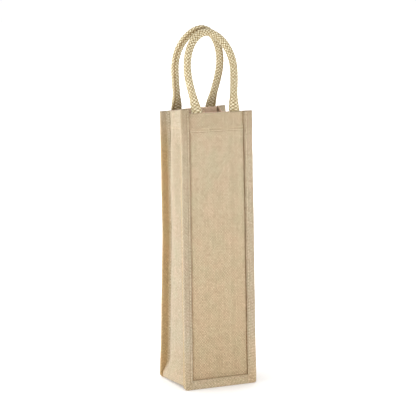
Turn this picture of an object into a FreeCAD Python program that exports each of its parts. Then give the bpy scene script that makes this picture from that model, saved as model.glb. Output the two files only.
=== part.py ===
import FreeCAD, Part
import math
import os

# Jute gift bag for one 750 ml bottle, standing upright and open.
# Millimetres. Origin: centre of the bag's footprint, on the plane it stands on.
# +X runs along the wide front from the left gusset to the right one, +Y from the front
# panel to the back panel, +Z up.
#
# A front and a back panel are joined by one gusset strip that runs down the left side,
# under the bottle and up the right side. Each edge of the strip stands out as a flange,
# wraps round the panel's edge and lies on the panel's outer face as a raised border.
# Round webbing handles are caught between each panel and the facing inside its hem.

# Driving dimensions
width = 100.0              # flange edge to flange edge, along X
depth = 84.0               # border face to border face, along Y
height = 350.0             # floor to the bag's top edge
cloth = 1.1                # thickness of the laminated jute
border_width = 12.0        # raised border on the outer face of a panel
border_thickness = 2.0     # border cloth with its raw edge turned under
edge_fold = 1.4            # cloth that wraps round the panel's edge
seam_setback = 9.5         # flange edge to the outer face of a side gusset
base_height = 5.0          # floor to the underside of the base gusset
corner_radius = 6.0        # lower corners of the flanges
film = 0.3                 # laminate film on the inner faces
hem_depth = 24.0           # facing inside the mouth

stitch_pitch = 4.2
stitch_length = 2.8
stitch_width = 0.7
stitch_rise = 0.3          # how far a stitch stands off the cloth
hem_stitch_drop = 22.5     # top edge to the hem stitching

handle_radius = 4.7        # webbing wrapped round its rope core
core_radius = 3.0
core_setback = 12.0        # leg length below the core, where the webbing is flat
seam_radius = 0.5          # sewing thread along the webbing's closing seam
seam_sink = 0.2            # seam's centreline below the sleeve's surface
leg_offset = 26.0          # middle of the bag to a leg's centreline at the hem
loop_half_width = 32.0     # middle to centreline where the loop is widest
loop_widest = 0.54         # where that is, as a share of the loop's height along its plane
top_radius = 22.0          # centreline of the loop's rounded top
loop_offset = 4.6          # bag's middle plane to a loop's centreline where the loops lean together
loop_start = 4.0           # top edge to the start of the free loop
loop_top = {"front": 453.0, "back": 457.0}

end_width = 13.5           # flat webbing end inside the hem
end_thickness = 1.6
end_depth = 22.0
end_rise = 1.0             # flat end above the top edge
pad_margin = 1.25          # facing beside a flat end

# Derived positions
panel_outer = depth / 2 - border_thickness
panel_inner = panel_outer - cloth
flange_inner = panel_inner - cloth
film_inner = panel_inner - film
web_outer = width / 2 - seam_setback
web_inner = web_outer - cloth
web_film_inner = web_inner - film
base_top = base_height + cloth
base_film_top = base_top + film
facing_bottom = height - hem_depth
facing_inner = film_inner - cloth
end_inner = film_inner - end_thickness
end_middle = film_inner - end_thickness / 2

sides = {"front": -1, "back": 1}


def box(x_low, x_high, y_low, y_high, z_low, z_high):
    """A box from its limits, whichever way round each pair comes."""
    sizes = [abs(x_high - x_low), abs(y_high - y_low), abs(z_high - z_low)]
    corner = FreeCAD.Vector(min(x_low, x_high), min(y_low, y_high), min(z_low, z_high))
    return Part.makeBox(sizes[0], sizes[1], sizes[2], corner)


def upright_slab(half_width, bottom, radius, y_low, y_high):
    """A slab facing along Y, with its two lower corners rounded."""
    start = min(y_low, y_high)
    thickness = abs(y_high - y_low)
    slab = box(-half_width, half_width, start, start + thickness, bottom, height)
    if radius > 0:
        corners = []
        for edge in slab.Edges:
            middle = edge.CenterOfMass
            at_corner = abs(abs(middle.x) - half_width) < 1e-6
            if at_corner and abs(middle.z - bottom) < 1e-6:
                corners.append(edge)
        slab = slab.makeFillet(radius, corners)
    return slab


def opening(half_width, bottom, y_low, y_high):
    """The space between the two sides of a border, open at the top."""
    return box(-half_width, half_width, y_low, y_high, bottom, height)


def flange(side):
    """Border, edge fold and inner flange of one panel, as one wrapped length of cloth."""
    near = side * depth / 2
    outer = side * panel_outer
    inner = side * panel_inner
    back = side * flange_inner
    half = width / 2
    border = upright_slab(half, 0, corner_radius, near, outer)
    border = border.cut(opening(half - border_width, border_width, near, outer))
    fold = upright_slab(half, 0, corner_radius, outer, inner)
    fold = fold.cut(panel(side))
    lining_leaf = upright_slab(half, 0, corner_radius, inner, back)
    lining_leaf = lining_leaf.cut(opening(web_inner, base_top, inner, back))
    return border.fuse([fold, lining_leaf])


def panel(side):
    """One flat panel, whose edges reach into the fold of its border."""
    radius = corner_radius - edge_fold
    return upright_slab(width / 2 - edge_fold, edge_fold, radius, side * panel_outer, side * panel_inner)


def gusset_strip():
    """Left side, base and right side of the gusset, before it is divided."""
    web = box(-web_outer, web_outer, -flange_inner, flange_inner, base_height, height)
    web = web.cut(opening(web_inner, base_top, -flange_inner, flange_inner))
    strip = web.fuse([flange(-1), flange(1)])
    return strip.removeSplitter()


def above_mitre(x_sign):
    """The space over the 45 degree fold line at one lower corner."""
    half = width / 2
    reach = half + height
    points = [(half, 0), (0, half), (0, reach), (half, reach)]
    corners = [FreeCAD.Vector(x_sign * x, -depth, z) for x, z in points]
    outline = Part.makePolygon(corners + corners[:1])
    return Part.Face(outline).extrude(FreeCAD.Vector(0, 2 * depth, 0))


def handle_path(name, start_drop, normal_shift=0.0):
    """Centreline of a loop: straight legs, a long arc up each side and a tighter arc over the top.

    The loop lies in a plane that leans towards the middle of the bag. start_drop is the
    length left off the foot of each leg, and normal_shift moves the path off that plane.
    """
    side = sides[name]
    top = loop_top[name] - handle_radius
    lean = math.atan2(end_middle - loop_offset, top - height)
    length = math.hypot(end_middle - loop_offset, top - height)

    def place(x, along):
        y = end_middle - along * math.sin(lean) - normal_shift * math.cos(lean)
        z = height + along * math.cos(lean) - normal_shift * math.sin(lean)
        return FreeCAD.Vector(x, side * y, z)

    # The side arc is tangent to the top arc and upright where the loop is widest.
    widest = loop_widest * length
    rise = length - top_radius - widest
    side_radius = (loop_half_width ** 2 + rise ** 2 - top_radius ** 2) / (2 * (loop_half_width - top_radius))
    side_centre = loop_half_width - side_radius
    shoulder = math.atan2(rise, -side_centre)

    # The leg is the tangent from its foot to the side arc.
    foot = loop_start / math.cos(lean)
    reach = math.hypot(leg_offset - side_centre, widest - foot)
    run = math.sqrt(reach ** 2 - side_radius ** 2)
    splay = math.asin(side_radius / reach) - math.atan2(leg_offset - side_centre, widest - foot)

    def on_leg(sign, distance):
        x = leg_offset + distance * math.sin(splay)
        return place(sign * x, foot + distance * math.cos(splay))

    def on_side(sign, angle):
        x = side_centre + side_radius * math.cos(angle)
        return place(sign * x, widest + side_radius * math.sin(angle))

    def half(sign):
        leg = Part.LineSegment(on_leg(sign, start_drop), on_leg(sign, run)).toShape()
        flank = Part.Arc(on_leg(sign, run), on_side(sign, shoulder / 2), on_side(sign, shoulder)).toShape()
        return [leg, flank]

    crown = Part.Arc(on_side(-1, shoulder), place(0, length), on_side(1, shoulder)).toShape()
    right = half(1)
    return Part.Wire(half(-1) + [crown] + right[::-1])


def sweep(path, radius):
    """A round rod along a path."""
    start = path.OrderedVertexes[0].Point
    first = path.OrderedEdges[0]
    along = first.tangentAt(first.FirstParameter)
    if (first.valueAt(first.FirstParameter) - start).Length > 1e-6:
        along = first.tangentAt(first.LastParameter).negative()
    profile = Part.Wire([Part.makeCircle(radius, start, along)])
    return path.makePipeShell([profile], True, True)


def handle(name):
    """Woven sleeve, rope core and seam thread of one carrying loop."""
    core = sweep(handle_path(name, core_setback), core_radius)
    seam = sweep(handle_path(name, 0, handle_radius - seam_sink), seam_radius)
    sleeve = sweep(handle_path(name, 0), handle_radius).cut(core).cut(seam)
    return {name + "_handle_sleeve": sleeve, name + "_handle_core": core, name + "_handle_seam": seam}


def handle_end(side, sign, margin, y_inner, bottom, top):
    """A block round one flat webbing end: the end itself, or the facing over it."""
    half = end_width / 2 + margin
    x = sign * leg_offset
    return box(x - half, x + half, side * film_inner, side * y_inner, bottom, top)


def end_block(side, sign):
    return handle_end(side, sign, 0, end_inner, height - end_depth, height + end_rise)


def panel_facing(side):
    """Facing inside a panel's hem, raised where it covers the two flat webbing ends."""
    half = web_film_inner
    facing = box(-half, half, side * film_inner, side * facing_inner, facing_bottom, height)
    for sign in (-1, 1):
        facing = facing.fuse(handle_end(side, sign, pad_margin, end_inner - cloth, facing_bottom, height))
    for sign in (-1, 1):
        facing = facing.cut(end_block(side, sign))
    return facing.removeSplitter()


def evenly(low, high):
    """Middles of the stitches in a row, spread evenly between its two ends."""
    count = int((high - low) / stitch_pitch)
    step = (high - low) / count
    return [low + step * (index + 0.5) for index in range(count)]


def border_stitches(side):
    """Row of stitches down, along and up the border, over the seam with the gusset."""
    line = width / 2 - seam_setback
    low = seam_setback
    y_face = side * depth / 2
    y_top = side * (depth / 2 + stitch_rise)
    long = stitch_length / 2
    wide = stitch_width / 2
    stitches = []
    for z in evenly(low, height):
        for x in (-line, line):
            stitches.append(box(x - wide, x + wide, y_face, y_top, z - long, z + long))
    for x in evenly(-line + stitch_pitch, line - stitch_pitch):
        stitches.append(box(x - long, x + long, y_face, y_top, low - wide, low + wide))
    return stitches


def hem_stitches():
    """Row of stitches right round the mouth, on the panels and on the side gussets."""
    z = height - hem_stitch_drop
    long = stitch_length / 2
    wide = stitch_width / 2
    low = z - wide
    high = z + wide
    panel_half = width / 2 - border_width
    stitches = []
    for side in sides.values():
        y_face = side * panel_outer
        y_top = side * (panel_outer + stitch_rise)
        for x in evenly(-panel_half, panel_half):
            stitches.append(box(x - long, x + long, y_face, y_top, low, high))
    for sign in (-1, 1):
        x_face = sign * web_outer
        x_top = sign * (web_outer + stitch_rise)
        for y in evenly(-flange_inner, flange_inner):
            stitches.append(box(x_face, x_top, y - long, y + long, low, high))
    return stitches


def build():
    parts = {}
    for name, side in sides.items():
        parts[name + "_panel"] = panel(side)
        parts[name + "_lining"] = box(
            -web_inner, web_inner, side * panel_inner, side * film_inner, base_top, height)
        parts[name + "_hem_facing"] = panel_facing(side)
        parts[name + "_border_stitching"] = Part.makeCompound(border_stitches(side))
        for label, sign in (("left", -1), ("right", 1)):
            parts[name + "_handle_end_" + label] = end_block(side, sign)
        parts.update(handle(name))

    strip = gusset_strip()
    left_space = above_mitre(-1)
    right_space = above_mitre(1)
    parts["gusset_left"] = strip.common(left_space)
    parts["gusset_right"] = strip.common(right_space)
    parts["gusset_base"] = strip.cut(left_space).cut(right_space)

    for label, sign in (("left", -1), ("right", 1)):
        parts[label + "_lining"] = box(
            sign * web_inner, sign * web_film_inner, -film_inner, film_inner, base_film_top, height)
        parts[label + "_hem_facing"] = box(
            sign * web_film_inner, sign * (web_film_inner - cloth),
            -facing_inner, facing_inner, facing_bottom, height)
    parts["base_lining"] = box(-web_inner, web_inner, -film_inner, film_inner, base_top, base_film_top)
    parts["hem_stitching"] = Part.makeCompound(hem_stitches())
    return parts


os.makedirs("parts", exist_ok=True)
for node, shape in build().items():
    solids = len(shape.Solids)
    print(node, "solids", solids, "valid", shape.isValid(), "volume mm3", round(shape.Volume, 1))
    shape.exportStep("parts/" + node + ".step")
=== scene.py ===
import math
from collections import namedtuple
import bpy
import numpy as np
from mathutils import Matrix, Vector


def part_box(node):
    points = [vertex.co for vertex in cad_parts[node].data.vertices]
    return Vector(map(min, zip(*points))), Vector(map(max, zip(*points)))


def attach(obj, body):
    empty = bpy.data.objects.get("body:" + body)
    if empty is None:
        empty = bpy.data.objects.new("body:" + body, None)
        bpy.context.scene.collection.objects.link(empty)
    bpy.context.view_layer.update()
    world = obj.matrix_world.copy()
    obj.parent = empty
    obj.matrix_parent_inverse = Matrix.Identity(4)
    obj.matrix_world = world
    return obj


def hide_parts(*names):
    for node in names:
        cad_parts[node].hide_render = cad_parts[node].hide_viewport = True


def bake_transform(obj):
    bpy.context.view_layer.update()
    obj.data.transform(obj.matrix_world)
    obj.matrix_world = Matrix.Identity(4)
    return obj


# Jute wine bag. The meshes are worked out in millimetres, in the CAD model's frame, as if every
# wall were flat. slump() then gives the cloth the lean and sag of an empty standing bag.

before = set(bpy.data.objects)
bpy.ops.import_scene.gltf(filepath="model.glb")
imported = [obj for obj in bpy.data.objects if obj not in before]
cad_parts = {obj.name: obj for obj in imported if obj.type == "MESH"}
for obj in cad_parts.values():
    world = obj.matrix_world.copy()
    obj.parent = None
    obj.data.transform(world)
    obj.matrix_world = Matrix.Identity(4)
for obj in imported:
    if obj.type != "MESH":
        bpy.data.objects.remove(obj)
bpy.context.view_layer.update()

MM = 0.001


def node_box(name):
    """Low and high corner of a CAD node, in millimetres."""
    low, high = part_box(name)
    return np.array(low) / MM, np.array(high) / MM


panel_low, panel_high = node_box("front_panel")
gusset_low, gusset_high = node_box("gusset_left")
film_low, film_high = node_box("front_lining")
end_low, end_high = node_box("front_handle_end_right")

HALF_WIDTH = -gusset_low[0]                 # flange edge
HALF_DEPTH = -gusset_low[1]                 # face of the raised border
HEIGHT = gusset_high[2]
BORDER = gusset_high[0] - gusset_low[0]     # width of the raised border
LIP = HALF_WIDTH - BORDER                   # inner edge of the raised border
PANEL_OUT = -panel_low[1]
PANEL_IN = -panel_high[1]
CLOTH = PANEL_OUT - PANEL_IN                # thickness of the jute
FILM = film_high[1] - film_low[1]           # thickness of the lining
WEB_IN = -node_box("left_lining")[0][0]     # inner face of a gusset's web
WEB_OUT = WEB_IN + CLOTH
FLANGE_IN = PANEL_IN - CLOTH
BASE_TOP = node_box("base_lining")[0][2]
HEM_BOTTOM = node_box("front_hem_facing")[0][2]
CORNER = {-1: 5.0, 1: 2.6}                  # rounding of the border's lower corners, left and right
HEM_STITCH = 22.5                           # top edge to the stitching round the mouth

SIDES = (("front", -1), ("back", 1))
FLANKS = (("left", -1), ("right", 1))


# ---------------------------------------------------------------- shape of the standing bag

def smooth(low, high, value):
    t = np.clip((value - low) / (high - low), 0, 1)
    return t * t * (3 - 2 * t)


def hump(centre, width, value):
    return np.exp(-((value - centre) / width) ** 2)


def ripple(a, b, seed, scale):
    """Gentle uneven waves over a surface, between about -1 and 1."""
    draws = np.random.default_rng(seed)
    total = 0
    for octave in range(5):
        angle, phase = draws.uniform(0, 2 * math.pi, 2)
        pitch = scale * draws.uniform(0.6, 1.5) / (1 + 0.6 * octave)
        wave = (a * math.cos(angle) + b * math.sin(angle)) * 2 * math.pi / pitch
        total = total + np.sin(wave + phase) / (1 + 0.5 * octave)
    return total / 2.6


# Heights, and how far the back wall stands out there at its left and its right edge.
BACK_LEFT = ([0, 35, 116, 201, 246, 298, 350], [-0.6, -3.0, -9.6, -13.6, -12.8, -10.6, -10.2])
BACK_RIGHT = ([0, 80, 200, 290, 350], [-0.4, -3.0, -5.0, -0.5, 5.0])
TABLE_HEIGHT = 350


def profile(z, table):
    """A curve through a few heights, rounded off between them."""
    heights, values = (np.array(x, float) for x in table)
    fine = np.linspace(0, HEIGHT, 71)
    line = np.interp(fine, heights * HEIGHT / TABLE_HEIGHT, values)
    for _ in range(6):
        line[1:-1] = (line[:-2] + 2 * line[1:-1] + line[2:]) / 4
    return np.interp(np.clip(z, 0, HEIGHT), fine, line)


def slump(p):
    """Moves points of the flat-walled bag to where the real cloth stands."""
    x, y, z = p[..., 0], p[..., 1], p[..., 2]
    up = np.clip(z / HEIGHT, 0, 1.02)
    right = np.clip(x / HALF_WIDTH, -1, 1) * 0.5 + 0.5
    back = smooth(-0.9, 0.9, y / FLANGE_IN)
    inside = np.clip(1 - np.abs(x) / LIP, 0, 1)

    # The front leans in a little; the back is drawn in at its middle and turned at its top.
    front_move = 3.7 * up + 0.5 * hump(0.55, 0.3, up) * ripple(x, z, 3, 190)
    front_move = front_move - 1.3 * np.sqrt(inside) * smooth(0.02, 0.3, up) * smooth(1.0, 0.8, up)
    back_move = (1 - right) * profile(z, BACK_LEFT) + right * profile(z, BACK_RIGHT)
    back_move = back_move + 0.6 * hump(0.5, 0.3, up) * ripple(x, z, 4, 170)
    wave = 0.22 * ripple(x, z, 5, 60) * smooth(0, 0.05, up)
    new_y = y + (1 - back) * front_move + back * back_move + wave

    # The bag is a little wider at its foot, and its flanges wander.
    new_x = x * (1.007 - 0.03 * up)
    edge = np.abs(x) / HALF_WIDTH
    new_x = new_x + np.sign(x) * edge * 0.35 * ripple(z, y * 0.3, 6, 120)
    new_x = new_x + 0.5 * smooth(0.6, 1.0, up) * smooth(0.2, 1, right) * ripple(z, x * 0, 8, 160)

    # The mouth's edge is uneven, and its back left corner sits lower.
    new_z = z + 0.25 * ripple(x, y, 7, 70) * smooth(0.5, 1, up)
    new_z = new_z - 1.4 * back * smooth(0.6, 1, up) * smooth(0.5, 0, right)
    return np.stack([new_x, new_y, new_z], -1)


def web_set(y, z, side):
    """How far a side gusset's cloth stands out from its flat place, over its depth and height.

    It has a ridge behind its middle, valleys beside the flanges, a fold inwards in its upper half
    and a flare at its foot.
    """
    s = y / FLANGE_IN
    below_hem = smooth(HEIGHT - 16, HEIGHT - 42, z) * smooth(2, 30, z)
    ridge = 3.4 * hump(0.42, 0.34, s)
    valley = -3.2 * hump(0.88, 0.09, s) - 3.0 * hump(-0.45, 0.3, s)
    fold = -5.0 * hump(-0.1, 0.35, s) * smooth(0.45, 0.9, z / HEIGHT)
    ends = smooth(1.0, 0.93, np.abs(s))
    if side < 0:
        upper = smooth(0.76, 0.92, z / HEIGHT)
        valley = valley - 4.6 * hump(0.80, 0.17, s) * upper
        below_hem = np.maximum(below_hem, hump(0.80, 0.25, s) * upper)
    else:
        fold = fold * 1.9
        ridge = ridge * 0.6
    mouth = -4.5 * hump(-0.05, 0.4, s) * smooth(HEIGHT - 60, HEIGHT, z) * (1.4 if side > 0 else 0.5)
    grain = 0.35 * ripple(y, z, 11 + side, 48)
    flare = 7.6 * smooth(28, 5, z) * smooth(1.0, 0.95, np.abs(s))
    return ((ridge + valley + fold) * below_hem + mouth + grain * smooth(0, 40, z)) * ends + flare


def foot(y):
    """Height of the sagging base's underside: near the floor at the back, higher at the front."""
    return 0.7 + 3.4 * np.clip(0.5 - 0.5 * y / FLANGE_IN, 0, 1)


def rim_shift(y, z, side):
    """Height that a gusset's mouth gains or loses: up at the left front, down in the right middle."""
    s = np.clip(y / FLANGE_IN, -1, 1)
    if side < 0:
        rise = 6.0 * (0.5 - 0.5 * s)
    else:
        rise = 0.7 - 6.0 * smooth(1.0, 0.7, np.abs(s))
    return rise * smooth(HEIGHT - 70, HEIGHT, z)


# ---------------------------------------------------------------- mesh helpers

def new_object(name, points, faces, weave=None):
    mesh = bpy.data.meshes.new(name)
    mesh.from_pydata((np.asarray(points) * MM).tolist(), [], faces)
    if weave is not None:
        layer = mesh.attributes.new("weave", "FLOAT_VECTOR", "POINT")
        layer.data.foreach_set("vector", np.asarray(weave, np.float32).ravel())
    mesh.validate()
    mesh.shade_smooth()
    mesh.update()
    made = bpy.data.objects.new(name, mesh)
    bpy.context.scene.collection.objects.link(made)
    return made


def grid_faces(rows, columns, offset=0, flip=False, wrap=False):
    faces = []
    for i in range(rows if wrap else rows - 1):
        k = (i + 1) % rows
        for j in range(columns - 1):
            a, b = offset + i * columns + j, offset + k * columns + j
            quad = (a, b, b + 1, a + 1)
            faces.append(quad[::-1] if flip else quad)
    return faces


def slab(name, outer, inner, across, along, shade=None):
    """A closed sheet of cloth between two matching grids of points of the flat-walled bag.

    shade is painted shade: 0 on open cloth, 1 for warm shade deep in a corner and -1 for dark shade in the
    bottom of a seam.
    """
    rows, columns = outer.shape[:2]
    count = rows * columns
    points = np.concatenate([slump(outer).reshape(-1, 3), slump(inner).reshape(-1, 3)])
    faces = grid_faces(rows, columns) + grid_faces(rows, columns, count, True)
    rim = [i * columns for i in range(rows)]
    rim += [(rows - 1) * columns + j for j in range(1, columns)]
    rim += [i * columns + columns - 1 for i in range(rows - 2, -1, -1)]
    rim += list(range(columns - 2, 0, -1))
    for a, b in zip(rim, rim[1:] + rim[:1]):
        faces.append((b, a, a + count, b + count))
    shade = np.zeros_like(along) if shade is None else shade
    flat = np.stack([across, along, shade], -1).reshape(-1, 3)
    return new_object(name, points, faces, np.concatenate([flat, flat]))


def hem_relief(x, z):
    """The hem stands a little proud, and its stitching pulls the cloth in."""
    line = z - (HEIGHT - HEM_STITCH)
    return 0.35 * smooth(-0.5, 2.5, line) - 0.65 * hump(0, 1.1, line) + 0.05 * ripple(x, z, 31, 30)


def panel_seams(x, z):
    """Lift and painted shade of a panel's cloth: its hem, painted a little darker above its stitching, and
    the painted shade of the seam gaps beside the border.

    The right seam line steps inwards near the mouth.
    """
    is_left = x < 0
    jog = 0.2 + 1.1 * smooth(HEIGHT - 19, HEIGHT - 14, z)
    seam = np.where(is_left, 0.75, 1) * hump(LIP - np.where(is_left, 1.0, jog), 0.8, np.abs(x))
    seam = np.maximum(seam, 0.5 * hump(BORDER + 0.4, 0.8, z) * (np.abs(x) < LIP))
    # Painted shade: dark lines in the seams beside the upright borders and along the bottom border, uneven
    # along them.
    shade = -seam * (0.66 + 0.34 * ripple(x * 0.2, z, 33, 12))
    # The hem above its stitching is painted a little darker.
    shade = np.minimum(shade, -0.12 * smooth(-0.5, 0.5, z - (HEIGHT - HEM_STITCH)))
    return hem_relief(x, z) - 0.35 * seam, shade


def wall(name, side, y_out, y_in, half, bottom, top, columns, rows, is_panel=False):
    """A slab that faces front (side -1) or back (side 1), with close rows about its hem stitching."""
    stitched = top - HEM_STITCH
    heights = np.concatenate([np.linspace(bottom, stitched - 9, rows - 45),
                              np.linspace(stitched - 8, stitched + 8, 33),
                              np.linspace(stitched + 9.5, top - 1.5, 8),
                              np.linspace(top - 1.0, top, 4)])
    if is_panel:
        # Close columns beside the border take its seam lines.
        near = np.concatenate([np.linspace(LIP - 4, LIP + 3, 22), np.linspace(LIP + 4, half, 6)])
        widths = np.concatenate([-near[::-1], np.linspace(-LIP + 5, LIP - 5, columns - 56), near])
    else:
        widths = np.linspace(-half, half, columns)
    x, z = np.meshgrid(widths, heights, indexing="ij")
    lift, shade = panel_seams(x, z) if is_panel else (0, None)
    outer = np.stack([x, side * (np.full_like(x, y_out) + lift), z], -1)
    inner = np.stack([x, side * np.full_like(x, y_in), z], -1)
    # A folded edge is rounded: its last rows draw together.
    close = smooth(top - 1.2, top, z) * 0.35 * (y_out - y_in)
    outer[..., 1] -= side * close
    inner[..., 1] += side * close
    return slab(name, outer, inner, x, z, shade=shade)


def side_slab(name, sign, out, thick, half, bottom, top, columns, rows):
    """A slab that faces left (sign -1) or right (sign 1) and follows the gusset's web."""
    y, z = np.meshgrid(np.linspace(-half, half, columns), np.linspace(bottom, top, rows), indexing="ij")
    stand = web_set(y, z, sign)
    z_up = z + rim_shift(y, z, sign)
    outer = np.stack([sign * (out + stand), y, z_up], -1)
    inner = np.stack([sign * (out + stand - thick), y, z_up], -1)
    return slab(name, outer, inner, y, z)


# ---------------------------------------------------------------- materials

class Nodes:
    """Short names for the shader nodes that the cloth materials share."""

    def __init__(self, name):
        self.material = bpy.data.materials.new(name)
        self.material.use_nodes = True
        self.tree = self.material.node_tree
        self.tree.nodes.clear()
        self.out = self.tree.nodes.new("ShaderNodeOutputMaterial")
        self.shader = self.tree.nodes.new("ShaderNodeBsdfPrincipled")
        self.tree.links.new(self.shader.outputs[0], self.out.inputs[0])

    def put(self, socket, value):
        if isinstance(value, bpy.types.NodeSocket):
            self.tree.links.new(value, socket)
        else:
            socket.default_value = value

    def math(self, operation, a, b=0.0, c=0.0):
        node = self.tree.nodes.new("ShaderNodeMath")
        node.operation = operation
        for socket, value in zip(node.inputs, (a, b, c)):
            self.put(socket, value)
        return node.outputs[0]

    def attribute(self, name):
        node = self.tree.nodes.new("ShaderNodeAttribute")
        node.attribute_name = name
        return node.outputs["Vector"]

    def scaled(self, vector, scale):
        node = self.tree.nodes.new("ShaderNodeVectorMath")
        node.operation = "MULTIPLY"
        self.put(node.inputs[0], vector)
        node.inputs[1].default_value = scale
        return node.outputs[0]

    def split(self, vector):
        node = self.tree.nodes.new("ShaderNodeSeparateXYZ")
        self.put(node.inputs[0], vector)
        return node.outputs[0], node.outputs[1], node.outputs[2]

    def noise(self, vector, scale, detail=2.0, rough=0.5):
        node = self.tree.nodes.new("ShaderNodeTexNoise")
        self.put(node.inputs["Vector"], vector)
        node.inputs["Scale"].default_value = scale
        node.inputs["Detail"].default_value = detail
        node.inputs["Roughness"].default_value = rough
        return node.outputs[0]

    def white(self, value):
        node = self.tree.nodes.new("ShaderNodeTexWhiteNoise")
        node.noise_dimensions = "1D"
        self.put(node.inputs["W"], value)
        return node.outputs["Value"]

    def ramp(self, value, *stops):
        node = self.tree.nodes.new("ShaderNodeValToRGB")
        self.put(node.inputs[0], value)
        elements = node.color_ramp.elements
        while len(elements) < len(stops):
            elements.new(0.5)
        for element, (place, colour) in zip(elements, stops):
            element.position = place
            element.color = (*colour, 1)
        return node.outputs[0]

    def mix(self, factor, a, b, blend="MIX"):
        node = self.tree.nodes.new("ShaderNodeMix")
        node.data_type = "RGBA"
        node.blend_type = blend
        self.put(node.inputs[0], factor)
        for socket, value in zip((node.inputs[6], node.inputs[7]), (a, b)):
            self.put(socket, (*value, 1) if isinstance(value, tuple) else value)
        return node.outputs[2]

    def bump(self, height, distance, strength=1.0):
        node = self.tree.nodes.new("ShaderNodeBump")
        node.inputs["Strength"].default_value = strength
        node.inputs["Distance"].default_value = distance
        self.put(node.inputs["Height"], height)
        self.tree.links.new(node.outputs[0], self.shader.inputs["Normal"])


def thread_profile(n, coordinate):
    """Rounded section of the threads that run across a coordinate: 1 at each middle, 0 between."""
    t = n.math("SUBTRACT", n.math("MULTIPLY", n.math("FRACT", coordinate), 2.0), 1.0)
    return n.math("SQRT", n.math("MAXIMUM", n.math("SUBTRACT", 1.0, n.math("MULTIPLY", t, t)), 0.0))


def parity(n, coordinate):
    """1 and -1 by turns, from thread to thread."""
    odd = n.math("MODULO", n.math("ABSOLUTE", n.math("FLOOR", coordinate)), 2.0)
    return n.math("SUBTRACT", 1.0, n.math("MULTIPLY", odd, 2.0))


def jute(name, pale, mid, dark, foot_at=0.0, low=(1, 1, 1), high=(1, 1, 1), reach=0.8, pitch=1.75):
    """Plain-woven jute: uneven threads over and under each other, with slubs and stray tones.

    The tint is painted light, lighter and warmer near the foot: it runs from low at foot_at along the cloth
    to high at reach (in bag heights) from there.
    """
    n = Nodes(name)
    place = n.attribute("weave")
    drift = n.noise(n.scaled(place, (0.11, 0.11, 0)), 1.0, 4.0)
    shift = n.math("MULTIPLY", n.math("SUBTRACT", drift, 0.5), 1.7)
    x, y, shade = n.split(place)
    u = n.math("ADD", n.math("DIVIDE", x, pitch), n.math("ADD", shift, 100.0))
    v = n.math("ADD", n.math("DIVIDE", y, pitch * 1.06), n.math("ADD", shift, 100.0))

    warp_over = n.math("MULTIPLY", parity(n, u), n.math("SINE", n.math("MULTIPLY", v, math.pi)))
    weft_over = n.math("MULTIPLY", parity(n, v), n.math("SINE", n.math("MULTIPLY", u, math.pi)))
    warp = n.math("MULTIPLY", thread_profile(n, u), n.math("MULTIPLY_ADD", warp_over, 0.42, 0.58))
    weft = n.math("MULTIPLY", thread_profile(n, v), n.math("MULTIPLY_ADD", weft_over, -0.42, 0.58))
    weave = n.math("MAXIMUM", warp, weft)

    # Each thread has a tone of its own, and the fibres in it run along it.
    warp_tone = n.white(n.math("FLOOR", u))
    weft_tone = n.white(n.math("ADD", n.math("FLOOR", v), 0.37))
    warp_fibre = n.noise(n.scaled(place, (1.5, 0.30, 1)), 1.0, 4.0, 0.72)
    weft_fibre = n.noise(n.scaled(place, (0.42, 1.5, 1)), 1.0, 4.0, 0.72)
    is_warp = n.math("GREATER_THAN", warp, weft)
    tone_warp = n.math("ADD", n.math("MULTIPLY", warp_tone, 0.11), n.math("MULTIPLY", warp_fibre, 0.89))
    tone_weft = n.math("ADD", n.math("MULTIPLY", weft_tone, 0.07), n.math("MULTIPLY", weft_fibre, 0.93))
    # The warp lies across the light and looks paler, which gives plain weave its diagonal grain.
    tone_warp = n.math("ADD", tone_warp, 0.085)
    tone_weft = n.math("ADD", tone_weft, -0.085)
    tone = n.mix(is_warp, tone_weft, tone_warp)
    crossing = n.white(n.math("ADD", n.math("FLOOR", u), n.math("MULTIPLY", n.math("FLOOR", v), 517.13)))
    tone = n.math("ADD", n.math("MULTIPLY", tone, 0.86), n.math("MULTIPLY", crossing, 0.14))
    cloth = n.ramp(tone, (0.20, dark), (0.50, mid), (0.80, pale))
    patch = n.noise(n.scaled(place, (0.045, 0.030, 0)), 1.0, 3.0, 0.6)
    patch_tint = n.ramp(patch, (0.36, (0.94, 0.965, 0.93)), (0.64, (1.0, 0.95, 0.935)))
    cloth = n.mix(1.0, cloth, patch_tint, "MULTIPLY")
    # Painted shade in the gaps between the threads.
    weave_gap_shade = n.ramp(weave, (0.15, (0.24, 0.19, 0.12)), (0.75, (1, 1, 1)))
    cloth = n.mix(0.55, cloth, weave_gap_shade, "MULTIPLY")
    # Painted light: the cloth is lighter and warmer towards the foot.
    from_foot = n.math("DIVIDE", n.math("ABSOLUTE", n.math("SUBTRACT", y, foot_at)), HEIGHT)
    cloth = n.mix(1.0, cloth, n.ramp(from_foot, (0.0, low), (reach, high)), "MULTIPLY")
    # Painted shade from the shade attribute: dark brown in seams, mitres, borders and hem, warm brown in the
    # corners beside the flanges.
    painted_shade = n.ramp(n.math("MULTIPLY_ADD", shade, 0.5, 0.5),
                  (0.0, (0.48, 0.34, 0.20)), (0.5, (1, 1, 1)), (1.0, (1.0, 0.85, 0.62)))
    cloth = n.mix(1.0, cloth, painted_shade, "MULTIPLY")
    n.put(n.shader.inputs["Base Color"], cloth)
    n.shader.inputs["Roughness"].default_value = 0.88
    n.shader.inputs["Specular IOR Level"].default_value = 0.22
    n.shader.inputs["Sheen Weight"].default_value = 0.12
    n.shader.inputs["Sheen Roughness"].default_value = 0.5
    fibre = n.math("MULTIPLY", n.noise(n.scaled(place, (3.2, 3.2, 1)), 1.0, 3.0, 0.7), 0.35)
    n.bump(n.math("ADD", weave, fibre), 0.0006, 0.9)
    return n.material


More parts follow.
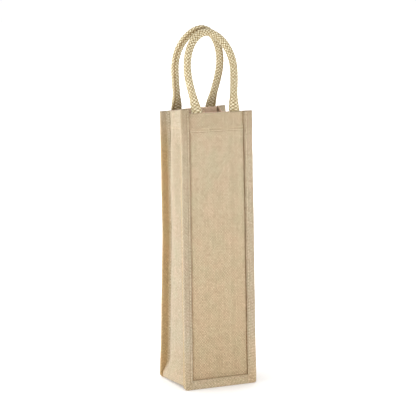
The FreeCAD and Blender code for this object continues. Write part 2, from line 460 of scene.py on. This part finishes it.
def webbing_material(name):
    """Natural cotton webbing: the ribs are in the mesh; the fibres, their tones and painted shade in the low
    parts of the weave are here.
    """
    n = Nodes(name)
    place = n.attribute("weave")
    _, _, height = n.split(place)
    fibre = n.noise(n.scaled(place, (2.4, 2.4, 0)), 1.0, 3.0, 0.7)
    tone = n.noise(n.scaled(place, (0.42, 0.42, 0)), 1.0, 2.0, 0.6)
    cloth = n.ramp(n.math("ADD", n.math("MULTIPLY", fibre, 0.30), n.math("MULTIPLY", tone, 0.70)),
                   (0.37, (0.42, 0.33, 0.17)), (0.49, (0.70, 0.61, 0.40)), (0.60, (0.86, 0.81, 0.62)))
    # Painted shade: the low parts of the relief, between the threads and in the seam groove, are darkened.
    groove = n.ramp(height, (0.45, (0.31, 0.23, 0.12)), (0.92, (1, 1, 1)))
    cloth = n.mix(0.95, cloth, groove, "MULTIPLY")
    n.put(n.shader.inputs["Base Color"], cloth)
    n.shader.inputs["Roughness"].default_value = 0.85
    n.shader.inputs["Specular IOR Level"].default_value = 0.25
    n.shader.inputs["Sheen Weight"].default_value = 0.15
    n.bump(fibre, 0.0003, 0.7)
    return n.material


def thread_material(name, colour, deep):
    n = Nodes(name)
    place = n.attribute("weave")
    twist = n.noise(n.scaled(place, (1.4, 1.4, 1.4)), 1.0, 2.0, 0.6)
    n.put(n.shader.inputs["Base Color"], n.ramp(twist, (0.3, deep), (0.7, colour)))
    n.shader.inputs["Roughness"].default_value = 0.7
    n.bump(twist, 0.0001, 0.5)
    return n.material


def film_material(name):
    """Thin film bonded to the jute: the cloth's colour through a slight gloss."""
    n = Nodes(name)
    place = n.attribute("weave")
    cloud = n.noise(n.scaled(place, (0.08, 0.08, 1)), 1.0, 4.0, 0.6)
    print_through = n.noise(n.scaled(place, (0.6, 0.6, 1)), 1.0, 2.0, 0.6)
    n.put(n.shader.inputs["Base Color"],
          n.mix(0.4, n.ramp(cloud, (0.3, (0.53, 0.42, 0.27)), (0.7, (0.66, 0.55, 0.38))),
                n.ramp(print_through, (0.35, (0.7, 0.62, 0.5)), (0.65, (1, 1, 1))), "MULTIPLY"))
    n.shader.inputs["Roughness"].default_value = 0.38
    n.bump(print_through, 0.0003, 0.6)
    return n.material


PANEL_JUTE = jute("jute_panel", (0.80, 0.68, 0.50), (0.56, 0.455, 0.31), (0.31, 0.235, 0.145),
                  low=(1.0, 0.93, 0.84), high=(0.93, 0.93, 0.93))
GUSSET_JUTE = jute("jute_gusset", (0.91, 0.795, 0.61), (0.635, 0.53, 0.38), (0.38, 0.30, 0.20),
                   foot_at=HEIGHT + HALF_WIDTH, low=(1.0, 0.94, 0.85), high=(0.84, 0.845, 0.85), reach=0.30)
# Painted light: the facings are the bag's own jute turned in, painted paler and pinker to offset the shade
# inside the mouth.
FACING_JUTE = jute("jute_facing", (1.00, 0.84, 0.69), (0.92, 0.70, 0.53), (0.64, 0.46, 0.33))
WEBBING = webbing_material("cotton_webbing")
BORDER_THREAD = thread_material("border_thread", (0.80, 0.69, 0.50), (0.60, 0.48, 0.31))
LINING_FILM = film_material("laminate_film")


def dress(piece, material, body, slot, *nodes):
    """Gives a piece its material and body, and hides the CAD nodes that it stands for. Its slot is not used.
    """
    piece.data.materials.append(material)
    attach(piece, body)
    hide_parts(*nodes)
    return piece


# ---------------------------------------------------------------- the two panels

for name, side in SIDES:
    piece = wall(name + "_panel_cloth", side, PANEL_OUT, PANEL_IN, panel_high[0] - 1.0,
                 panel_low[2] + 2.5, HEIGHT, 75, 200, is_panel=True)
    dress(piece, PANEL_JUTE, "shell", "jute_front", name + "_panel")


# ---------------------------------------------------------------- the gusset strip

WEB_POINTS = 45                             # across the web
Z_STEPS = 150                               # down each side
X_STEPS = 45                                # along the base
ARC_STEPS = 5                               # round each lower corner
STATIONS = 2 * (Z_STEPS + ARC_STEPS) + X_STEPS
MITRES = (Z_STEPS + ARC_STEPS // 2, STATIONS - 1 - Z_STEPS - ARC_STEPS // 2)


def flange_profile(side):
    """Outer and inner line of one flange in its section: (stand-off from the middle, y)."""
    edge, face = HALF_WIDTH, HALF_DEPTH
    mid = (PANEL_OUT + PANEL_IN) / 2
    outer = [(LIP + 1.3, PANEL_OUT + 0.10), (LIP + 0.35, PANEL_OUT + 0.45)]
    outer += [(LIP, face - 0.85), (LIP + 0.45, face - 0.15)]
    # The stitching pulls the border's face in.
    outer += [(n, face + 0.15 - 0.85 * hump(WEB_OUT, 0.9, n)) for n in np.linspace(LIP + 1.2, edge - 1.8, 13)]
    outer += [(edge - 0.8, face - 0.2), (edge - 0.15, face - 0.9), (edge, mid)]
    outer += [(edge - 0.15, FLANGE_IN + 0.4), (edge - 0.7, FLANGE_IN + 0.05), (edge - 2.0, FLANGE_IN)]
    outer += [(n, FLANGE_IN) for n in np.linspace(edge - 3.5, WEB_OUT + 0.8, 5)]
    inner = [(LIP + step, PANEL_OUT + 0.05) for step in (1.45, 1.6, 1.75, 1.9)]
    inner += [(n, PANEL_OUT + 0.05) for n in np.linspace(LIP + 2.1, edge - 2.2, 13)]
    inner += [(edge - 1.9, PANEL_OUT + 0.05), (edge - 1.4, PANEL_OUT - 0.1)]
    inner += [(edge - 1.25, mid), (edge - 1.4, PANEL_IN + 0.1)]
    inner += [(edge - 1.9, PANEL_IN - 0.05), (edge - 2.6, PANEL_IN - 0.05)]
    inner += [(n, PANEL_IN - 0.05) for n in np.linspace(edge - 3.9, WEB_IN + 0.4, 5)]
    return [(n, side * y) for n, y in outer], [(n, side * y) for n, y in inner]


def gusset_section():
    """The whole section of the strip, from the front border to the back border."""
    front_out, front_in = flange_profile(-1)
    back_out, back_in = flange_profile(1)
    reach = FLANGE_IN - 0.6
    ys = reach * np.sin(np.linspace(-math.pi / 2, math.pi / 2, WEB_POINTS))
    web_out = [(WEB_OUT, y) for y in ys]
    web_in = [(WEB_IN, y * (PANEL_IN - 0.3) / reach) for y in ys]
    return (np.array(front_out + web_out + back_out[::-1]), np.array(front_in + web_in + back_in[::-1]))


def corner_radius(side, height, on_web):
    """Rounding of one thread line's lower corner, largest at the flange's free edge."""
    if on_web:
        return 2.5
    return min(CORNER[side], max(0.8, CORNER[side] - 1.1 * height))


def strip_line(stand, y, on_web):
    """One thread line of the strip: down the left side, across the base and up the right side.

    stand is the point's distance from the bag's middle on the sides; under the base it sets
    the height.
    """
    floor = HALF_WIDTH - stand
    low = floor
    if on_web:
        low = foot(y) + (WEB_OUT - stand)
    elif abs(y) < PANEL_IN:
        low = min(floor, foot(y))
    left = corner_radius(-1, floor, on_web)
    right = corner_radius(1, floor, on_web)
    turn = np.linspace(0, math.pi / 2, ARC_STEPS + 2)[1:-1]
    points = [(-stand, y, z) for z in np.linspace(HEIGHT, low + left, Z_STEPS)]
    points += [(left - stand - left * math.cos(t), y, low + left - left * math.sin(t)) for t in turn]
    points += [(x, y, low) for x in np.linspace(left - stand, stand - right, X_STEPS)]
    points += [(stand - right + right * math.cos(t), y, low + right - right * math.sin(t))
               for t in turn[::-1]]
    points += [(stand, y, z) for z in np.linspace(low + right, HEIGHT, Z_STEPS)]
    return points


def gusset_grid(section, is_web):
    """All thread lines of the strip, with the lie of the standing bag's cloth."""
    grid = np.array([strip_line(stand, y, on_web) for (stand, y), on_web in zip(section, is_web)])
    x, y, z = grid[..., 0], grid[..., 1], grid[..., 2]
    web = np.array(is_web, float)[:, None]
    on_side = smooth(LIP - 4, WEB_IN - 1.0, np.abs(x)) * web
    stand = np.where(x < 0, web_set(y, z, -1), web_set(y, z, 1))
    grid[..., 0] += np.sign(x) * stand * on_side
    # The base sags a little more in the middle of its depth.
    in_base = web * smooth(WEB_IN, WEB_IN - 14, np.abs(x)) * (z < BASE_TOP + 6)
    grid[..., 2] -= 0.25 * (1 - (y / FLANGE_IN) ** 2) * in_base
    grid[..., 2] += np.where(x < 0, rim_shift(y, z, -1), rim_shift(y, z, 1))
    # The border is folded into a mitre at each lower corner.
    on_border = (np.abs(y) > PANEL_OUT + 0.4)
    for station in MITRES:
        grid[:, station, 1] -= np.sign(y[:, station]) * 0.7 * on_border[:, station]
    return grid


def gusset_shade(outer):
    """Painted shade: warm in the corners beside the flanges, dark on the mitres and on the upright borders.
    """
    stand_off, depth, height = np.abs(outer[..., 0]), np.abs(outer[..., 1]), outer[..., 2]
    in_corner = smooth(WEB_OUT - 3, WEB_OUT + 2, stand_off) * hump(FLANGE_IN, 3.5, depth)
    in_corner = in_corner * smooth(HEIGHT, HEIGHT - 60, height)
    mitre = np.zeros_like(stand_off)
    for station in MITRES:
        for step, amount in ((-1, 0.5), (0, 1.0), (1, 0.5)):
            mitre[:, station + step] = amount * (depth[:, station + step] > PANEL_OUT)
    band = np.where(outer[..., 0] < 0, 0.42, 0.34) * smooth(PANEL_OUT, PANEL_OUT + 0.5, depth)
    band = band * smooth(5, 120, height)
    return in_corner - np.maximum(0.7 * mitre, band)


section_out, section_in = gusset_section()
flange_points = (len(section_out) - WEB_POINTS) // 2
is_web = [False] * flange_points + [True] * WEB_POINTS + [False] * flange_points
outer = gusset_grid(section_out, is_web)
inner = gusset_grid(section_in, is_web)
spread = np.concatenate([[0], np.cumsum(np.hypot(*np.diff(section_out, axis=0).T))])
run = np.concatenate([[0], np.cumsum(np.linalg.norm(np.diff(outer[0], axis=0), axis=1))])
across, along = np.meshgrid(spread, run, indexing="ij")
gusset = slab("gusset_strip", outer, inner, across, along, shade=gusset_shade(outer))
dress(gusset, GUSSET_JUTE, "shell", "jute_gusset", "gusset_left", "gusset_base", "gusset_right")


# ---------------------------------------------------------------- linings and facings

LINING_GAP = 0.05
LINING_HALF = WEB_IN - 4.5                  # half width of the front and back films
for name, side in SIDES:
    film = wall(name + "_lining_film", side, PANEL_IN - LINING_GAP, PANEL_IN - LINING_GAP - FILM,
                LINING_HALF, foot(side * PANEL_IN) + CLOTH + 1, HEIGHT - 1.5, 40, 120)
    dress(film, LINING_FILM, "shell", "laminate_film", name + "_lining")

for name, sign in FLANKS:
    film = side_slab(name + "_lining_film", sign, WEB_IN - LINING_GAP, FILM, PANEL_IN - 1.2,
                     foot(0) + CLOTH + 3.5, HEIGHT - 1.5, 60, 120)
    dress(film, LINING_FILM, "shell", "laminate_film", name + "_lining")


def base_film():
    """The film on the base, which follows its sag."""
    half = WEB_IN - 1.5
    deep = PANEL_IN - 1.0
    x, y = np.meshgrid(np.linspace(-half, half, 40), np.linspace(-deep, deep, 40), indexing="ij")
    under = np.stack([x, y, foot(y) + CLOTH + 0.1], -1)
    top = under + np.array([0, 0, FILM])
    return slab("base_lining_film", under, top, x, y)


film = base_film()
dress(film, LINING_FILM, "shell", "laminate_film", "base_lining")

LEG = (end_low[0] + end_high[0]) / 2
END_HALF = (end_high[0] - end_low[0]) / 2
END_THICK = 2.4


def over_the_ends(x):
    """Where the facing bulges over the flat webbing ends."""
    near = smooth(END_HALF + 2.5, END_HALF - 0.5, np.abs(np.abs(x) - LEG))
    return (END_THICK + 0.2) * near


def panel_facing(name, side):
    """The hem's turned-in cloth behind a panel, with the handle's flat ends under it."""
    half = WEB_IN - 3.0
    x, z = np.meshgrid(np.linspace(-half, half, 90), np.linspace(HEM_BOTTOM, HEIGHT + 0.4, 26), indexing="ij")
    out = PANEL_IN - LINING_GAP - FILM - 0.1 - over_the_ends(x)
    soft = 0.25 * smooth(HEIGHT - 1.0, HEIGHT + 0.4, z)
    outer = np.stack([x, side * (out - soft), z], -1)
    inner = np.stack([x, side * (out - CLOTH + soft), z], -1)
    return slab(name, outer, inner, x, z)


for name, side in SIDES:
    facing = panel_facing(name + "_facing_cloth", side)
    dress(facing, FACING_JUTE, "shell", "jute_facing", name + "_hem_facing")

for name, sign in FLANKS:
    facing = side_slab(name + "_facing_cloth", sign, WEB_IN - FILM - 0.25, CLOTH, PANEL_IN - 2.2,
                       HEM_BOTTOM, HEIGHT, 60, 24)
    dress(facing, FACING_JUTE, "shell", "jute_facing", name + "_hem_facing")


# ---------------------------------------------------------------- stitching

STITCH_PITCH = 4.2
STITCH_LENGTH = 2.9
STITCH_RADIUS = 0.42
RINGS = 7                                   # along one stitch
ROUND = 6                                   # points of each ring


def stitch(centre, along, out):
    """Points of one stitch, ring by ring: a short thread that rises from the cloth and dives back."""
    centre, along, out = (np.array(v, float) for v in (centre, along, out))
    side = np.cross(along, out)
    rings = []
    for t in np.linspace(-1, 1, RINGS):
        middle = centre + along * (t * STITCH_LENGTH / 2) + out * (0.30 - 0.75 * t ** 4 + 0.05)
        r = STITCH_RADIUS * (1 - 0.45 * t ** 4)
        for k in range(ROUND):
            angle = k * math.pi / 3
            rings.append(middle + side * r * math.cos(angle) + out * 0.8 * r * math.sin(angle))
    return rings


def stitch_row(name, places, shape):
    """One object of many stitches, whose points shape() then moves."""
    points, faces, weave = [], [], []
    for index, place in enumerate(places):
        start = len(points)
        points += stitch(*place)
        for ring in range(RINGS - 1):
            for k in range(ROUND):
                a = start + ring * ROUND + k
                b = start + ring * ROUND + (k + 1) % ROUND
                faces.append((a, b, b + ROUND, a + ROUND))
        last = start + (RINGS - 1) * ROUND
        faces.append(tuple(start + k for k in reversed(range(ROUND))))
        faces.append(tuple(last + k for k in range(ROUND)))
        weave += [(index * 7.3 + ring, k, index * 3.1) for ring in range(RINGS) for k in range(ROUND)]
    return new_object(name, shape(np.array(points)), faces, np.array(weave))


def evenly(low, high):
    count = int((high - low) / STITCH_PITCH)
    step = (high - low) / count
    return [low + step * (index + 0.5) for index in range(count)]


def border_places(side):
    line = WEB_OUT
    low = HALF_WIDTH - WEB_OUT
    y = side * HALF_DEPTH
    out = (0, side, 0)
    places = [((x, y, z), (0, 0, 1), out) for z in evenly(low, HEIGHT) for x in (-line, line)]
    places += [((x, y, low), (1, 0, 0), out) for x in evenly(-line + STITCH_PITCH, line - STITCH_PITCH)]
    return places


def hem_places():
    z = HEIGHT - HEM_STITCH
    places = []
    for side in (-1, 1):
        places += [((x, side * PANEL_OUT, z), (1, 0, 0), (0, side, 0)) for x in evenly(-LIP, LIP)]
    for sign in (-1, 1):
        for y in evenly(-FLANGE_IN, FLANGE_IN):
            x = sign * (WEB_OUT + float(web_set(np.array(y), np.array(z), sign)))
            places.append(((x, y, z + 2.0), (0, 1, 0), (sign, 0, 0)))
    return places


for name, side in SIDES:
    row = stitch_row(name + "_border_stitches", border_places(side), slump)
    dress(row, BORDER_THREAD, "shell", "thread", name + "_border_stitching")
row = stitch_row("hem_stitches", hem_places(), slump)
dress(row, BORDER_THREAD, "shell", "thread", "hem_stitching")


# ---------------------------------------------------------------- handles

SLEEVE_BOX = {name: node_box(name + "_handle_sleeve") for name, _ in SIDES}
RADIUS = 4.8                                # of the round webbing
FLAT_WIDE = 7.3                             # half sizes of the flat webbing at the hem
FLAT_THICK = 1.25
END_Y = (abs(end_low[1]) + abs(end_high[1])) / 2
APEX_Y = 4.95                               # from the bag's middle to a loop's top
DEPTH_IN = 14.0                             # how far the webbing goes on inside the hem
SWAY = {"front": 1.3, "back": -1.6}         # how far a loop stands to the side at its top
LOOP_POINTS = 920
WEAVE_PITCH = 4.3                           # of the webbing's diagonal weave
GIRTH = 7 * WEAVE_PITCH
# The closing seam faces the other handle at 90 degrees, and below that it turns outwards.
SEAM_ANGLE = {"front": math.radians(90), "back": math.radians(60)}

Path = namedtuple("Path", "line tangent inward sideways even height")


def loop_line(name, side):
    """Centreline, section axes and distance along one handle, from its left end to its right."""
    low, high = SLEEVE_BOX[name]
    top = high[2] - RADIUS
    half = (high[0] - low[0]) / 2 - RADIUS
    rise = math.hypot(END_Y - APEX_Y, top - HEIGHT)
    lean = math.atan2(END_Y - APEX_Y, top - HEIGHT)
    widest = 0.53 * rise
    # Above its widest the loop is a slightly pointed half ellipse, and below it the legs draw in.
    t = np.linspace(-1, 1, 4001)
    u = np.abs(t)
    angle = np.clip((0.5 - u) * math.pi, 0, math.pi / 2)
    arch_v = widest + (rise - widest) * np.sin(angle)
    arch_x = half * np.cos(angle) ** 1.08
    leg_v = widest - (u - 0.5) / 0.5 * (widest + DEPTH_IN)
    fall = np.clip((widest - leg_v) / widest, 0, 1.0)
    leg_x = half - (half - LEG) * smooth(0, 1.08, fall) - 0.4 * np.clip(fall - 0.9, 0, 1)
    v = np.where(u < 0.5, arch_v, leg_v)
    x = np.where(u < 0.5, arch_x, leg_x) * np.sign(t)
    x = x + SWAY[name] * smooth(0.2, 0.75, v / rise) * hump(0.8, 0.5, v / rise)
    above = np.clip(v, 0, None)
    y = side * (END_Y - above * math.sin(lean))
    z = HEIGHT + np.where(v > 0, v * math.cos(lean), v)
    line = np.stack([x, y, z], -1)
    # The legs' feet follow the slumped panel, and that shift fades out towards the top.
    feet = np.stack([np.sign(t) * LEG, np.full_like(t, side * END_Y), np.full_like(t, HEIGHT)], -1)
    fade = 1 - smooth(0.0, 0.95, above / rise)
    line = line + (slump(feet) - feet) * fade[:, None] * np.array([1, 1, 0])
    steps = np.concatenate([[0], np.cumsum(np.linalg.norm(np.diff(line, axis=0), axis=1))])
    even = np.linspace(0, steps[-1], LOOP_POINTS)
    line = np.stack([np.interp(even, steps, line[:, k]) for k in range(3)], -1)
    for _ in range(12):
        line[1:-1] = (line[:-2] + 2 * line[1:-1] + line[2:]) / 4
    tangent = np.gradient(line, axis=0)
    tangent /= np.linalg.norm(tangent, axis=1)[:, None]
    to_other = np.array([0, -side * math.cos(lean), -math.sin(lean)])
    inward = np.cross(tangent, np.cross(to_other, tangent))
    inward /= np.linalg.norm(inward, axis=1)[:, None]
    return Path(line, tangent, inward, np.cross(inward, tangent), even, np.interp(even, steps, v))


def woven(around, along):
    """Relief of a coarse diagonal basket weave, 0 in its gaps and 1 on its threads."""
    a = (around + along) / WEAVE_PITCH
    b = (around - along) / WEAVE_PITCH
    section_a = np.sqrt(np.clip(1 - (2 * (a % 1) - 1) ** 2, 0, 1))
    section_b = np.sqrt(np.clip(1 - (2 * (b % 1) - 1) ** 2, 0, 1))
    sign_a = 1 - 2 * (np.floor(a) % 2)
    sign_b = 1 - 2 * (np.floor(b) % 2)
    over_a = section_a * (0.55 + 0.45 * sign_a * np.sin(math.pi * b))
    over_b = section_b * (0.55 - 0.45 * sign_b * np.sin(math.pi * a))
    return np.maximum(over_a, over_b)


def flattening(height):
    """0 where the webbing is round, 1 where it is flat, at the hem."""
    return 1 - smooth(1.0, 24.0, height)


def tube(name, points, weave):
    """A closed tube from a grid of points, stations along by points around."""
    count, ring = points.shape[:2]
    faces = grid_faces(ring, count, wrap=True)
    faces.append(tuple(k * count for k in range(ring)))
    faces.append(tuple(k * count + count - 1 for k in reversed(range(ring))))
    return new_object(name, points.transpose(1, 0, 2).reshape(-1, 3), faces, weave.reshape(-1, 3))


def handle_sleeve(name, path, ring=84):
    """The webbing: a round tube that flattens at the hem, with its weave and seam as relief."""
    angle = np.linspace(0, 2 * math.pi, ring, endpoint=False)
    around = angle / (2 * math.pi) * GIRTH
    flat = flattening(path.height)[:, None]
    relief = woven(around[None, :], path.even[:, None])
    groove = hump(SEAM_ANGLE[name], 0.17, angle)[None, :]
    swell = 0.95 * (relief - 0.62) * (1 - 0.35 * flat) - 0.5 * groove * (1 - 0.6 * flat)
    relief = relief * (1 - 0.75 * groove)
    wobble = 0.12 * ripple(path.even[:, None], angle[None, :] * 3, 21 if name == "front" else 22, 40)
    wide = RADIUS * (1 - flat) + FLAT_WIDE * flat - 0.1 + swell + wobble
    thick = RADIUS * (1 - flat) + FLAT_THICK * flat - 0.1 + swell * (1 - 0.4 * flat) + wobble * 0.5
    cos, sin = np.cos(angle)[None, :, None], np.sin(angle)[None, :, None]
    power = 1 - 0.25 * flat[..., None]
    shape_c = np.sign(cos) * np.abs(cos) ** power
    shape_s = np.sign(sin) * np.abs(sin) ** power
    points = (path.line[:, None] + path.sideways[:, None] * shape_c * wide[..., None]
              + path.inward[:, None] * shape_s * thick[..., None])
    weave = np.stack(np.broadcast_arrays(around[:, None], path.even[None, :], relief.T), -1)
    return tube(name + "_handle_webbing", points, weave)


ROPE_LAY = 16                               # length of one turn of the rope's strands


def core_rope(name, path, ring=24):
    """Three-strand rope inside the sleeve, where the webbing is round."""
    keep = np.flatnonzero(path.height > 20)[::3]
    line, inward, sideways, even = path.line[keep], path.inward[keep], path.sideways[keep], path.even[keep]
    angle = np.linspace(0, 2 * math.pi, ring, endpoint=False)
    twist = even[:, None] * 2 * math.pi / ROPE_LAY
    radius = 2.2 + 0.55 * np.abs(np.cos(1.5 * (angle[None, :] - twist)))
    points = (line[:, None] + sideways[:, None] * (np.cos(angle)[None, :] * radius)[..., None]
              + inward[:, None] * (np.sin(angle)[None, :] * radius)[..., None])
    weave = np.stack(np.broadcast_arrays(angle[:, None] * 3, even[None, :], angle[:, None] * 0), -1)
    return tube(name + "_handle_rope", points, weave)


SEAM_PITCH = 3.4
SEAM_INSET = 16                             # from each end of the webbing to the first stitch


def seam_stitches(name, path):
    """The stitches that close the webbing, sunk in its seam groove."""
    places = []
    for distance in np.arange(path.even[0] + SEAM_INSET, path.even[-1] - SEAM_INSET, SEAM_PITCH):
        k = int(np.searchsorted(path.even, distance))
        flat = flattening(path.height[k])
        stand = RADIUS * (1 - flat) + FLAT_THICK * flat - 0.35
        out = path.inward[k] * math.sin(SEAM_ANGLE[name]) + path.sideways[k] * math.cos(SEAM_ANGLE[name])
        places.append((path.line[k] + out * stand, path.tangent[k], out))
    return stitch_row(name + "_handle_stitches", places, lambda points: points)


ROPE = thread_material("rope_core", (0.80, 0.74, 0.60), (0.62, 0.55, 0.42))
SEAM_THREAD = thread_material("seam_thread", (0.50, 0.37, 0.21), (0.33, 0.23, 0.12))

for name, side in SIDES:
    path = loop_line(name, side)
    body = name + "_handle"
    sleeve = handle_sleeve(name, path)
    for piece, material, slot, nodes in (
        (sleeve, WEBBING, "webbing", (body + "_sleeve", body + "_end_left", body + "_end_right")),
        (core_rope(name, path), ROPE, "rope_core", (body + "_core",)),
        (seam_stitches(name, path), SEAM_THREAD, "thread", (body + "_seam",)),
    ):
        piece.data.materials.append(material)
        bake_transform(piece)
        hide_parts(*nodes)


# ---------------------------------------------------------------- floor, light and camera

def floor_material():
    """White paper that takes the bag's soft shadow and glows evenly white further out."""
    n = Nodes("floor")
    n.put(n.shader.inputs["Base Color"], (0.93, 0.93, 0.93, 1))
    n.shader.inputs["Roughness"].default_value = 0.9
    n.shader.inputs["Specular IOR Level"].default_value = 0.1
    n.shader.inputs["Emission Color"].default_value = (1, 1, 1, 1)
    x, y, _ = n.split(n.attribute("weave"))
    away = n.math("SQRT", n.math("ADD", n.math("MULTIPLY", x, x), n.math("MULTIPLY", y, y)))
    glow = n.math("MINIMUM", n.math("MULTIPLY_ADD", away, 2.0, 0.02), 0.85)
    n.put(n.shader.inputs["Emission Strength"], glow)
    return n.material


# The floor, the lights and the camera are in metres.
FLOOR_REACH = 12.0
FLOOR_CELL = 0.05                           # half the middle cell; the others grow outwards
FLOOR_STEPS = 24
steps = np.concatenate([-np.geomspace(FLOOR_REACH, FLOOR_CELL, FLOOR_STEPS),
                        np.geomspace(FLOOR_CELL, FLOOR_REACH, FLOOR_STEPS)])
x, y = np.meshgrid(steps, steps, indexing="ij")
spots = np.stack([x, y, 0 * x], -1).reshape(-1, 3)
floor = new_object("floor", spots / MM, grid_faces(len(steps), len(steps)), spots)
floor.data.materials.append(floor_material())


def studio_world(behind, ahead):
    """A white sweep behind the bag that fades to a dimmer studio in front of it."""
    world = bpy.data.worlds.new("studio")
    bpy.context.scene.world = world
    world.use_nodes = True
    tree = world.node_tree
    place = tree.nodes.new("ShaderNodeTexCoord")
    split = tree.nodes.new("ShaderNodeSeparateXYZ")
    tree.links.new(place.outputs["Generated"], split.inputs[0])
    spread = tree.nodes.new("ShaderNodeMapRange")
    spread.inputs["From Min"].default_value = -0.35
    spread.inputs["From Max"].default_value = 0.45
    spread.inputs["To Min"].default_value = ahead
    spread.inputs["To Max"].default_value = behind
    tree.links.new(split.outputs[1], spread.inputs["Value"])
    background = tree.nodes["Background"]
    background.inputs[0].default_value = (1, 1, 1, 1)
    tree.links.new(spread.outputs[0], background.inputs[1])


studio_world(1.02, 0.58)


def soft_light(name, place, target, size, power):
    light = bpy.data.lights.new(name, "AREA")
    light.shape = "RECTANGLE"
    light.size = size
    light.size_y = size
    light.energy = power
    lamp = bpy.data.objects.new(name, light)
    bpy.context.scene.collection.objects.link(lamp)
    lamp.location = place
    lamp.rotation_euler = (Vector(target) - Vector(place)).to_track_quat("-Z", "Y").to_euler()


MIDDLE = (0, 0, HEIGHT * 0.6 * MM)
soft_light("key", (-0.4, -2.3, 0.50), MIDDLE, 1.0, 13)
soft_light("side", (-2.1, 0.3, 0.7), MIDDLE, 1.0, 22)
soft_light("top", (0, 0.3, 2.6), MIDDLE, 3.0, 25)

camera_data = bpy.data.cameras.new("camera")
camera = bpy.data.objects.new("camera", camera_data)
bpy.context.scene.collection.objects.link(camera)
bpy.context.scene.camera = camera
YAW = math.radians(23.8)
DISTANCE = 2.1
EYE_HEIGHT = 0.541
AIM_SIDE = 0.0029
AIM_HEIGHT = 0.2247
ROLL = math.radians(-0.64)
camera_data.sensor_width = 36
camera_data.lens = 144.0
aim = Vector((AIM_SIDE * math.cos(YAW), -AIM_SIDE * math.sin(YAW), AIM_HEIGHT))
eye = Vector((-math.sin(YAW) * DISTANCE, -math.cos(YAW) * DISTANCE, EYE_HEIGHT))
turn = (aim - eye).to_track_quat("-Z", "Y").to_matrix() @ Matrix.Rotation(ROLL, 3, "Z")
camera.matrix_world = Matrix.Translation(eye) @ turn.to_4x4()
bpy.context.scene.view_settings.view_transform = "Standard"
